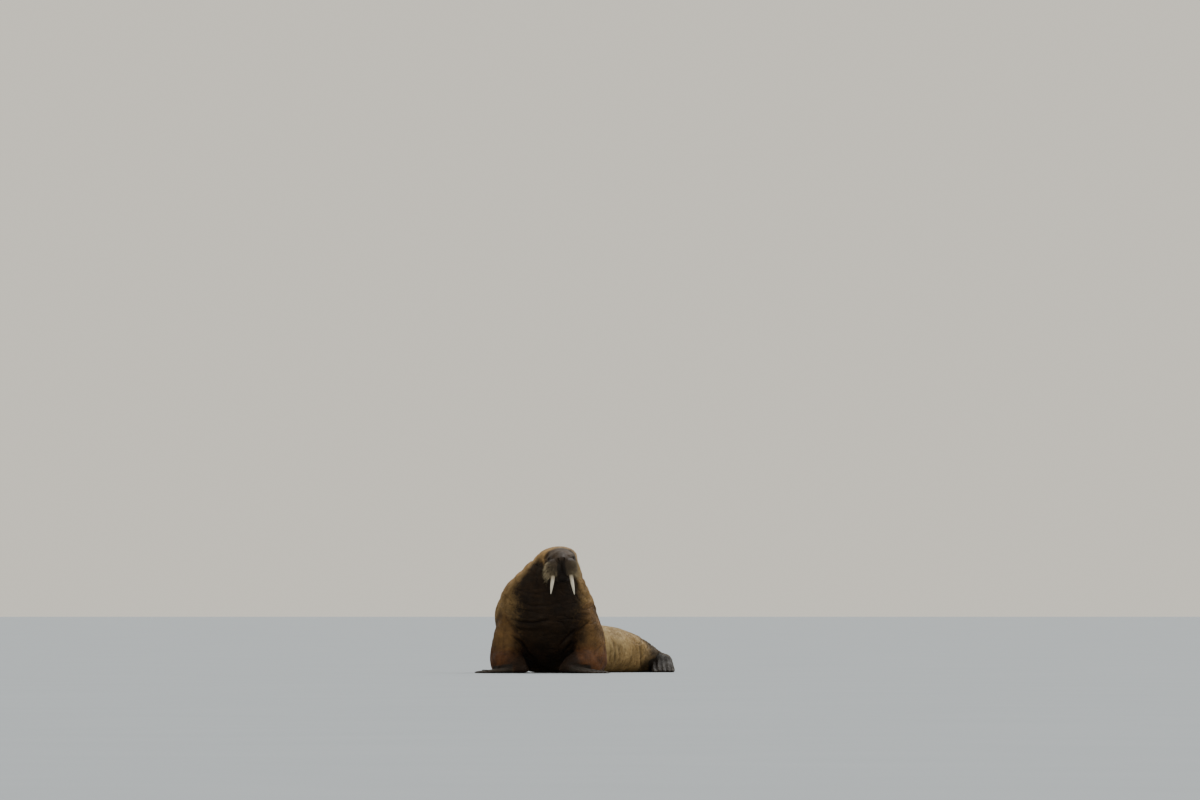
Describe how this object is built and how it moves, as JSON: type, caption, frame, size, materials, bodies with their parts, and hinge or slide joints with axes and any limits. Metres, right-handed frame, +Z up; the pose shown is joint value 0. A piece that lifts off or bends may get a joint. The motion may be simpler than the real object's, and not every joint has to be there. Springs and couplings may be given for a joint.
{
  "type": "walrus",
  "caption": "Life-size walrus resting on its belly and hind flippers, chest raised on outturned foreflippers, face forward, with tusks and whisker bristles.",
  "frame": {"origin": "the middle of the body's box, on the floor under it", "axes": "+Z up from the floor; the chest and face look along -Y; the hind end lies back along +Y and round to +X"},
  "size_m": [2.0216, 2.343, 1.2685],
  "materials": {
    "hide": "wrinkled hide with a thin coat of short tawny hair",
    "muzzle": "bare grey-brown skin with straw-coloured bristles",
    "flipper_skin": "bare dark grey skin with small claws",
    "eye": "wet and glossy",
    "ivory": "smooth ivory with fine lengthwise cracks"
  },
  "bodies": {
    "root": {"head": "hide", "neck": "hide", "chest": "hide", "torso": "hide", "hips": "hide", "tail": "hide", "nose": "muzzle", "whisker_pad_left": "muzzle", "whisker_pad_right": "muzzle", "lower_jaw": "muzzle", "eye_left": "eye", "eye_right": "eye", "tusk_left": "ivory", "tusk_right": "ivory", "forelimb_left": "hide", "forelimb_right": "hide", "foreflipper_left": "flipper_skin", "foreflipper_right": "flipper_skin", "hindflipper_left": "flipper_skin", "hindflipper_right": "flipper_skin"}
  },
  "joints": []
}
